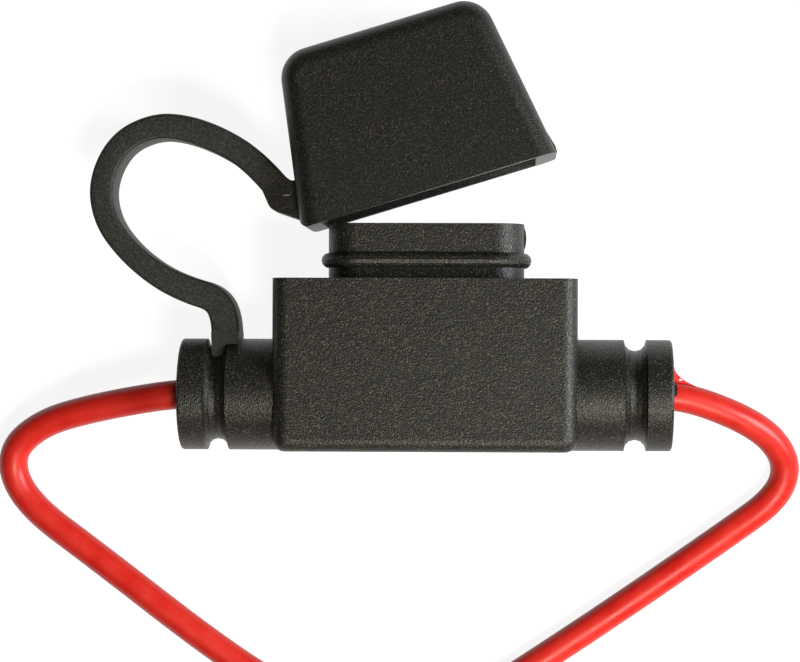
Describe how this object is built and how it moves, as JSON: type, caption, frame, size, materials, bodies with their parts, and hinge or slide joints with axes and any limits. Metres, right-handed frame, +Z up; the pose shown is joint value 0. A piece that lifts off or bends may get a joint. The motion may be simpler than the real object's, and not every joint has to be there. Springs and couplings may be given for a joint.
{
  "type": "in-line mini blade fuse holder",
  "caption": "In-line fuse holder: a block with a round lead boss at each end, a socket neck, and a hollow cap on a curved strap, wired with a looped lead.",
  "frame": {"origin": "on the broad back face that the holder lies on, straight under the middle of the lead axis", "axes": "+X along the two lead bosses, the strap being on the -X side; +Y from the lead axis to the fuse socket and the cap; +Z up from the back face"},
  "size_m": [0.0788, 0.0733, 0.0124],
  "materials": {
    "black_plastic": "fine satin moulding grain",
    "terminal_brass": "bright rolled sheet",
    "red_insulation": "smooth soft gloss",
    "tinned_strand": "tinned copper strands"
  },
  "bodies": {
    "housing": {"housing": "black_plastic", "tether_strap": "black_plastic", "left_terminal": "terminal_brass", "right_terminal": "terminal_brass", "lead_wire": "red_insulation", "left_strand_end": "tinned_strand", "right_strand_end": "tinned_strand"},
    "cap": {"cap": "black_plastic"}
  },
  "joints": [
    {"name": "cap_swing", "type": "hinge", "parent": "housing", "child": "cap", "pos_m": [-0.02735, 0.01634, 0.0062], "axis": [0, 0, 1], "range_deg": [-16.9, 70], "stiffness_Nm_per_rad": 0.1, "deforming": ["tether_strap"]}
  ]
}
